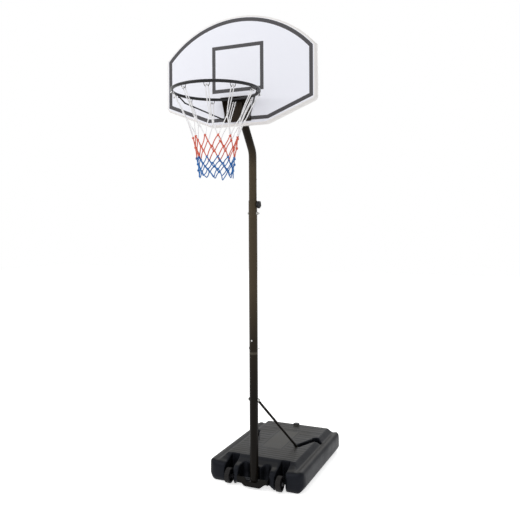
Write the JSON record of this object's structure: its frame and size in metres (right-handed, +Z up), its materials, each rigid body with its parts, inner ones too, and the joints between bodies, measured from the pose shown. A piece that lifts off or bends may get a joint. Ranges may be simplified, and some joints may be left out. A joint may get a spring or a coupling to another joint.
{
  "type": "portable basketball stand",
  "caption": "Free-standing basketball goal: ballast tank on wheels, telescopic cranked pole with struts, arched backboard, round rim with hooks and a knotted net.",
  "frame": {"origin": "on the floor, under the centre of the ballast tank's footprint", "axes": "+Z up along the pole; -Y is the front, the side of the rim; +X is to the right for someone who stands in front and looks at the board"},
  "size_m": [0.902, 1.4538, 2.67],
  "materials": {
    "tank_plastic": "dark grey moulded plastic, satin",
    "black_plastic": "black plastic, satin",
    "seal_rubber": "grey rubber, dull",
    "wheel_plastic": "black moulded plastic with a ribbed tread",
    "zinc": "bright zinc plate",
    "spring_steel": "plain spring steel",
    "dark_steel": "brown-black powder coat, satin",
    "board_plastic": "cool white moulded plastic, satin gloss",
    "white_cord": "white braided cord",
    "red_cord": "red braided cord",
    "blue_cord": "blue braided cord"
  },
  "bodies": {
    "stand": {"base_tank": "tank_plastic", "wheel_spacer_left": "black_plastic", "wheel_spacer_right": "black_plastic", "axle_cap_left": "zinc", "axle_cap_right": "zinc", "wheel_axle": "zinc", "pole_cradle": "dark_steel", "lower_pole": "dark_steel", "middle_pole": "dark_steel", "height_bolt": "zinc", "height_nut": "zinc", "joint_bolt": "zinc", "strut_bolt": "zinc", "strut_nut": "zinc", "strut_left": "dark_steel", "strut_right": "dark_steel", "strut_screw_left": "zinc", "strut_screw_right": "zinc"},
    "left_wheel": {"wheel_left": "wheel_plastic"},
    "right_wheel": {"wheel_right": "wheel_plastic"},
    "goal": {"upper_pole": "dark_steel", "stop_stud": "dark_steel", "pole_end_cap": "black_plastic", "backboard": "board_plastic", "rim_ring": "dark_steel", "rim_bracket": "dark_steel", "rim_brace_left": "dark_steel", "rim_brace_right": "dark_steel", "rim_bolt_lower_left": "zinc", "rim_bolt_lower_right": "zinc", "rim_bolt_upper_left": "zinc", "rim_bolt_upper_right": "zinc", "rim_nut_lower_left": "zinc", "rim_nut_lower_right": "zinc", "rim_nut_upper_left": "zinc", "rim_nut_upper_right": "zinc", "board_clamp": "dark_steel", "board_top_clamp": "dark_steel", "clamp_screw_left": "zinc", "clamp_screw_right": "zinc", "net_white": "white_cord", "net_red": "red_cord", "net_blue": "blue_cord"},
    "clamp_knob": {"height_knob": "black_plastic"},
    "button": {"join_button": "zinc", "button_spring": "spring_steel"},
    "cap": {"filler_cap": "black_plastic"},
    "seal": {"filler_seal": "seal_rubber"}
  },
  "joints": [
    {"name": "left_wheel_spin", "type": "hinge", "parent": "stand", "child": "left_wheel", "pos_m": [-0.16, -0.3801, 0.047], "axis": [1, 0, 0], "continuous": true},
    {"name": "right_wheel_spin", "type": "hinge", "parent": "stand", "child": "right_wheel", "pos_m": [0.16, -0.3801, 0.047], "axis": [1, 0, 0], "continuous": true},
    {"name": "height_slide", "type": "slide", "parent": "stand", "child": "goal", "axis": [0, 0, 1], "range_m": [-0.11, 0.2]},
    {"name": "knob_turn", "type": "hinge", "parent": "stand", "child": "clamp_knob", "pos_m": [0.037, -0.3801, 1.638], "axis": [1, 0, 0], "range_deg": [0, 1080]},
    {"name": "button_press", "type": "slide", "parent": "stand", "child": "button", "axis": [0, 1, 0], "range_m": [0, 0.004], "stiffness_N_per_m": 600},
    {"name": "cap_lift", "type": "slide", "parent": "stand", "child": "seal", "axis": [0, 0, 1], "range_m": [0, 0.009]},
    {"name": "cap_turn", "type": "hinge", "parent": "seal", "child": "cap", "pos_m": [0, 0.3395, 0.15], "axis": [0, 0, 1], "range_deg": [0, 1080]}
  ],
  "couplings": [
    {"joint": "cap_turn", "follows": "cap_lift", "rad_per_m": 2094.4}
  ]
}
